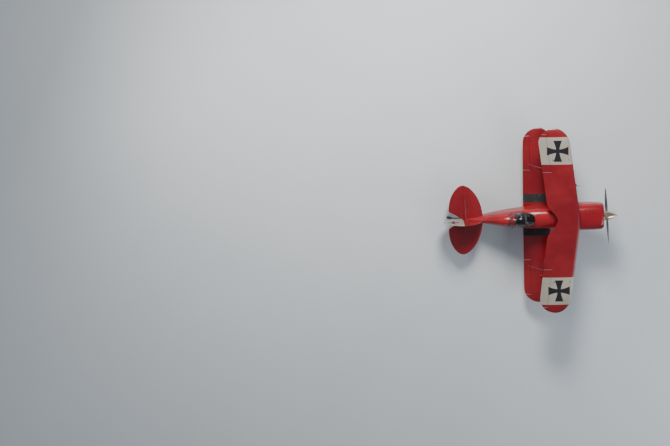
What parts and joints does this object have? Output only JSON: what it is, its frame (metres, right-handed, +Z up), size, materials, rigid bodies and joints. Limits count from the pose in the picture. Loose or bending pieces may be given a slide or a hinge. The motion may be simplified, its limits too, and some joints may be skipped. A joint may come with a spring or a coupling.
{
  "type": "aerobatic biplane",
  "caption": "Small single-seat aerobatic biplane standing on its main wheels and tail wheel, with swept upper wing, bubble canopy and strut-and-wire bracing.",
  "frame": {"origin": "middle of the bounding box at ground level, under the parked aircraft", "axes": "+X towards the nose, +Y to port along the wings, +Z up from the ground"},
  "size_m": [5.6502, 6.0968, 2.0521],
  "materials": {
    "red_fabric": "glossy doped red fabric over ribs",
    "white_fabric": "white doped fabric",
    "red_shell": "glossy red painted composite",
    "red_strut": "red painted streamlined tube",
    "red_gear": "red painted steel",
    "clear": "clear acrylic",
    "steel": "bare steel",
    "alloy": "dull cast alloy",
    "blade": "dark painted metal blade",
    "spinner": "polished pale gold metal",
    "tyre": "black rubber",
    "cockpit": "matt black"
  },
  "bodies": {
    "airframe": {"fuselage": "red_fabric", "forward_deck": "red_fabric", "turtledeck": "red_fabric", "cowl_upper": "red_shell", "cowl_lower": "red_shell", "engine": "alloy", "windscreen": "clear", "windscreen_bow": "red_shell", "instrument_panel": "cockpit", "pilot_chair": "cockpit", "control_stick": "cockpit", "upper_wing": "red_fabric", "lower_wing_left": "red_fabric", "lower_wing_right": "red_fabric", "interplane_strut_left": "red_strut", "cabane_struts_left": "red_strut", "flying_wire_front_left": "steel", "flying_wire_rear_left": "steel", "landing_wire_left": "steel", "interplane_strut_right": "red_strut", "cabane_struts_right": "red_strut", "flying_wire_front_right": "steel", "flying_wire_rear_right": "steel", "landing_wire_right": "steel", "pitot_tube": "cockpit", "fin": "red_fabric", "stabilizer_left": "red_fabric", "tail_wire_upper_left": "steel", "tail_wire_lower_left": "steel", "stabilizer_right": "red_fabric", "tail_wire_upper_right": "steel", "tail_wire_lower_right": "steel", "gear_leg_left": "red_gear", "wheel_pant_left": "red_shell", "gear_leg_right": "red_gear", "wheel_pant_right": "red_shell", "tail_spring": "steel"},
    "propeller": {"propeller": "blade", "spinner": "spinner"},
    "main_wheel_left": {"tyre_left": "tyre", "wheel_hub_left": "alloy"},
    "main_wheel_right": {"tyre_right": "tyre", "wheel_hub_right": "alloy"},
    "tailwheel_swivel": {"tailwheel_fork": "steel"},
    "tailwheel": {"tailwheel": "tyre"},
    "rudder": {"rudder": "white_fabric"},
    "elevator": {"elevator": "red_fabric"},
    "lower_aileron_left": {"lower_aileron_left": "red_fabric"},
    "lower_aileron_right": {"lower_aileron_right": "red_fabric"},
    "upper_aileron_left": {"upper_aileron_left": "red_fabric"},
    "upper_aileron_right": {"upper_aileron_right": "red_fabric"},
    "aileron_link_left": {"aileron_link_left": "steel"},
    "aileron_link_right": {"aileron_link_right": "steel"},
    "canopy": {"canopy_frame": "red_shell", "canopy_glass": "clear"}
  },
  "joints": [
    {"name": "propeller_spin", "type": "hinge", "parent": "airframe", "child": "propeller", "pos_m": [2.50237, 0, 1.4122], "axis": [0.9779, 0, 0.209], "continuous": true},
    {"name": "wheel_left_spin", "type": "hinge", "parent": "airframe", "child": "main_wheel_left", "pos_m": [1.56929, 0.82, 0.17998], "axis": [0, 1, 0], "continuous": true},
    {"name": "wheel_right_spin", "type": "hinge", "parent": "airframe", "child": "main_wheel_right", "pos_m": [1.56929, -0.82, 0.17998], "axis": [0, 1, 0], "continuous": true},
    {"name": "rudder_hinge", "type": "hinge", "parent": "airframe", "child": "rudder", "pos_m": [-2.15654, 0, 0.72331], "axis": [-0.209, 0, 0.9779], "range_deg": [-25, 25]},
    {"name": "tailwheel_steer", "type": "hinge", "parent": "airframe", "child": "tailwheel_swivel", "pos_m": [-2.4008, 0, 0.19098], "axis": [0, 0, 1], "range_deg": [-25, 25]},
    {"name": "tailwheel_spin", "type": "hinge", "parent": "tailwheel_swivel", "child": "tailwheel", "pos_m": [-2.4628, 0, 0.07498], "axis": [0, 1, 0], "continuous": true},
    {"name": "elevator_hinge", "type": "hinge", "parent": "airframe", "child": "elevator", "pos_m": [-2.13146, 0, 0.60596], "axis": [0, 1, 0], "range_deg": [-25, 25]},
    {"name": "canopy_hinge", "type": "hinge", "parent": "airframe", "child": "canopy", "pos_m": [-0.4548, -0.267, 1.13403], "axis": [0.9779, 0, 0.209], "range_deg": [0, 80]},
    {"name": "lower_aileron_left_hinge", "type": "hinge", "parent": "airframe", "child": "lower_aileron_left", "pos_m": [0.15283, 1.5, 0.49187], "axis": [-0.0109, 0.9986, 0.0512], "range_deg": [-22, 22]},
    {"name": "upper_aileron_left_hinge", "type": "hinge", "parent": "airframe", "child": "upper_aileron_left", "pos_m": [0.54544, 1.62, 1.66888], "axis": [-0.1226, 0.9921, -0.0262], "range_deg": [-22, 22]},
    {"name": "aileron_link_left_pivot", "type": "hinge", "parent": "lower_aileron_left", "child": "aileron_link_left", "pos_m": [0.09444, 1.68, 0.52585], "axis": [-0.0109, 0.9986, 0.0512], "range_deg": [-24, 24]},
    {"name": "lower_aileron_right_hinge", "type": "hinge", "parent": "airframe", "child": "lower_aileron_right", "pos_m": [0.15283, -1.5, 0.49187], "axis": [0.0109, 0.9986, -0.0512], "range_deg": [-22, 22]},
    {"name": "upper_aileron_right_hinge", "type": "hinge", "parent": "airframe", "child": "upper_aileron_right", "pos_m": [0.54544, -1.62, 1.66888], "axis": [0.1226, 0.9921, 0.0262], "range_deg": [-22, 22]},
    {"name": "aileron_link_right_pivot", "type": "hinge", "parent": "lower_aileron_right", "child": "aileron_link_right", "pos_m": [0.09444, -1.68, 0.52585], "axis": [0.0109, 0.9986, -0.0512], "range_deg": [-24, 24]}
  ],
  "couplings": [
    {"joint": "tailwheel_steer", "follows": "rudder_hinge", "ratio": 1},
    {"joint": "upper_aileron_left_hinge", "follows": "lower_aileron_left_hinge", "ratio": 1},
    {"joint": "aileron_link_left_pivot", "follows": "lower_aileron_left_hinge", "ratio": -1.0733},
    {"joint": "lower_aileron_right_hinge", "follows": "lower_aileron_left_hinge", "ratio": -1},
    {"joint": "upper_aileron_right_hinge", "follows": "lower_aileron_left_hinge", "ratio": -1},
    {"joint": "aileron_link_right_pivot", "follows": "lower_aileron_left_hinge", "ratio": 1.0733}
  ]
}
